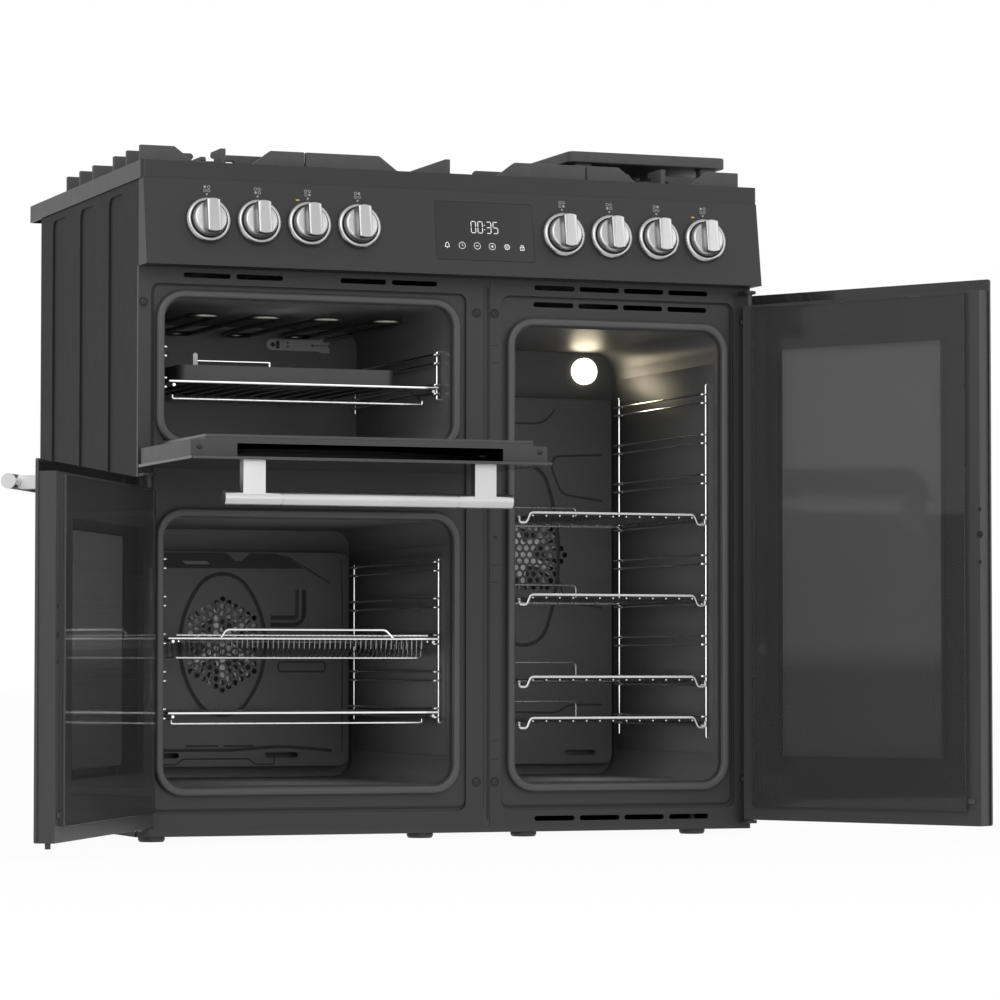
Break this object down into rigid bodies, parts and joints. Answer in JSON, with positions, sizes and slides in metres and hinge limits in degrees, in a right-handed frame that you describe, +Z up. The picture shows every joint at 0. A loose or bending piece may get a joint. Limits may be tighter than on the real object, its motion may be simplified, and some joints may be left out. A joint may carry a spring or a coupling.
{
  "type": "range cooker with double oven",
  "caption": "Range cooker with a drop-down grill oven, side-opening main and tall fan ovens, a gas hob and a loose griddle plate.",
  "frame": {"origin": "floor under the middle of the front left levelling foot", "axes": "+Z up, -Y towards the person in front of the doors, +X to that person's right"},
  "size_m": [1.3962, 1.0225, 0.963],
  "materials": {
    "body_enamel": "satin charcoal enamel",
    "frame_enamel": "satin grey vitreous enamel",
    "oven_enamel": "dark vitreous enamel with fine specks",
    "galvanised": "galvanised sheet",
    "black_steel": "black powder coat",
    "knob_steel": "brushed, satin",
    "wire_chrome": "bright",
    "zinc_steel": "zinc plated",
    "element_steel": "heat dulled",
    "valve_brass": "turned",
    "burner_alloy": "cast, matt",
    "cast_iron": "matt enamelled",
    "seal_fibre": "matt",
    "dark_glass": "dark, polished",
    "lamp_glass": "clear lens, lit",
    "box_plastic": "black",
    "pan_enamel": "dark enamel"
  },
  "bodies": {
    "cabinet": {"side_panel_left": "body_enamel", "side_panel_right": "body_enamel", "back_panel": "galvanised", "base_tray": "black_steel", "partition": "body_enamel", "levelling_feet": "black_steel", "hob_top": "body_enamel", "control_panel": "body_enamel", "display_glass": "dark_glass", "knob_bezels": "knob_steel", "front_frame_left": "frame_enamel", "front_frame_right": "frame_enamel", "grill_oven_liner": "oven_enamel", "main_oven_liner": "oven_enamel", "tall_oven_liner": "oven_enamel", "door_seals": "seal_fibre", "fan_baffles": "oven_enamel", "fan_motors": "zinc_steel", "heating_elements": "element_steel", "oven_lamp": "lamp_glass", "shelf_racks": "wire_chrome", "gas_rail": "valve_brass", "control_valves": "valve_brass", "burner_bases": "burner_alloy", "burner_caps": "cast_iron", "pan_supports": "cast_iron", "hinge_brackets": "zinc_steel", "screws": "black_steel", "terminal_box": "box_plastic"},
    "griddle": {"griddle_plate": "cast_iron"},
    "knob_1": {"knob_1": "knob_steel"},
    "knob_2": {"knob_2": "knob_steel"},
    "knob_3": {"knob_3": "knob_steel"},
    "knob_4": {"knob_4": "knob_steel"},
    "knob_5": {"knob_5": "knob_steel"},
    "knob_6": {"knob_6": "knob_steel"},
    "knob_7": {"knob_7": "knob_steel"},
    "knob_8": {"knob_8": "knob_steel"},
    "main_fan": {"main_fan_wheel": "zinc_steel"},
    "tall_fan": {"tall_fan_wheel": "zinc_steel"},
    "grill_shelf": {"grill_shelf": "wire_chrome"},
    "grill_pan": {"grill_pan": "pan_enamel"},
    "mesh_basket": {"mesh_basket": "wire_chrome"},
    "main_shelf": {"main_shelf": "wire_chrome"},
    "tall_shelf_1": {"tall_shelf_1": "wire_chrome"},
    "tall_shelf_2": {"tall_shelf_2": "wire_chrome"},
    "tall_shelf_3": {"tall_shelf_3": "wire_chrome"},
    "tall_shelf_4": {"tall_shelf_4": "wire_chrome"},
    "left_door": {"left_door_panel": "dark_glass", "left_door_frame": "frame_enamel", "left_door_glass": "dark_glass", "left_door_handle": "knob_steel"},
    "right_door": {"right_door_panel": "dark_glass", "right_door_frame": "frame_enamel", "right_door_glass": "dark_glass", "right_door_handle": "knob_steel"},
    "grill_door": {"grill_door_panel": "dark_glass", "grill_door_frame": "frame_enamel", "grill_door_glass": "dark_glass", "grill_door_handle": "knob_steel"}
  },
  "joints": [
    {"name": "left_door_hinge", "type": "hinge", "parent": "cabinet", "child": "left_door", "pos_m": [-0.017, -0.041, 0.253], "axis": [0, 0, -1], "range_deg": [-120, 0]},
    {"name": "right_door_hinge", "type": "hinge", "parent": "cabinet", "child": "right_door", "pos_m": [0.859, -0.041, 0.389], "axis": [0, 0, 1], "range_deg": [-120, 0]},
    {"name": "grill_door_hinge", "type": "hinge", "parent": "cabinet", "child": "grill_door", "pos_m": [0.219, -0.038, 0.522], "axis": [1, 0, 0], "range_deg": [-90, 0]},
    {"name": "knob_1_turn", "type": "hinge", "parent": "cabinet", "child": "knob_1", "pos_m": [0.06, -0.05109, 0.83], "axis": [0, -0.9871, 0.1603], "range_deg": [0, 270]},
    {"name": "knob_2_turn", "type": "hinge", "parent": "cabinet", "child": "knob_2", "pos_m": [0.131, -0.05109, 0.83], "axis": [0, -0.9871, 0.1603], "range_deg": [0, 270]},
    {"name": "knob_3_turn", "type": "hinge", "parent": "cabinet", "child": "knob_3", "pos_m": [0.202, -0.05109, 0.83], "axis": [0, -0.9871, 0.1603], "range_deg": [0, 270]},
    {"name": "knob_4_turn", "type": "hinge", "parent": "cabinet", "child": "knob_4", "pos_m": [0.273, -0.05109, 0.83], "axis": [0, -0.9871, 0.1603], "range_deg": [0, 270]},
    {"name": "knob_5_turn", "type": "hinge", "parent": "cabinet", "child": "knob_5", "pos_m": [0.572, -0.05109, 0.83], "axis": [0, -0.9871, 0.1603], "range_deg": [0, 270]},
    {"name": "knob_6_turn", "type": "hinge", "parent": "cabinet", "child": "knob_6", "pos_m": [0.643, -0.05109, 0.83], "axis": [0, -0.9871, 0.1603], "range_deg": [0, 270]},
    {"name": "knob_7_turn", "type": "hinge", "parent": "cabinet", "child": "knob_7", "pos_m": [0.714, -0.05109, 0.83], "axis": [0, -0.9871, 0.1603], "range_deg": [0, 270]},
    {"name": "knob_8_turn", "type": "hinge", "parent": "cabinet", "child": "knob_8", "pos_m": [0.785, -0.05109, 0.83], "axis": [0, -0.9871, 0.1603], "range_deg": [0, 270]},
    {"name": "main_fan_spin", "type": "hinge", "parent": "cabinet", "child": "main_fan", "pos_m": [0.2145, 0.41, 0.266], "axis": [0, -1, 0], "continuous": true},
    {"name": "tall_fan_spin", "type": "hinge", "parent": "cabinet", "child": "tall_fan", "pos_m": [0.667, 0.375, 0.4], "axis": [0, -1, 0], "continuous": true},
    {"name": "grill_shelf_slide", "type": "slide", "parent": "cabinet", "child": "grill_shelf", "axis": [0, -1, 0], "range_m": [0, 0.15]},
    {"name": "grill_pan_lift", "type": "slide", "parent": "grill_shelf", "child": "grill_pan", "axis": [0, 0, 1], "range_m": [0, 0.04]},
    {"name": "mesh_basket_slide", "type": "slide", "parent": "cabinet", "child": "mesh_basket", "axis": [0, -1, 0], "range_m": [0, 0.17]},
    {"name": "main_shelf_slide", "type": "slide", "parent": "cabinet", "child": "main_shelf", "axis": [0, -1, 0], "range_m": [0, 0.17]},
    {"name": "tall_shelf_1_slide", "type": "slide", "parent": "cabinet", "child": "tall_shelf_1", "axis": [0, -1, 0], "range_m": [0, 0.15]},
    {"name": "tall_shelf_2_slide", "type": "slide", "parent": "cabinet", "child": "tall_shelf_2", "axis": [0, -1, 0], "range_m": [0, 0.15]},
    {"name": "tall_shelf_3_slide", "type": "slide", "parent": "cabinet", "child": "tall_shelf_3", "axis": [0, -1, 0], "range_m": [0, 0.15]},
    {"name": "tall_shelf_4_slide", "type": "slide", "parent": "cabinet", "child": "tall_shelf_4", "axis": [0, -1, 0], "range_m": [0, 0.15]},
    {"name": "griddle_lift", "type": "slide", "parent": "cabinet", "child": "griddle", "axis": [0, 0, 1], "range_m": [0, 0.1]}
  ],
  "couplings": [
    {"joint": "grill_door_hinge", "follows": "left_door_hinge", "ratio": 0.75}
  ]
}
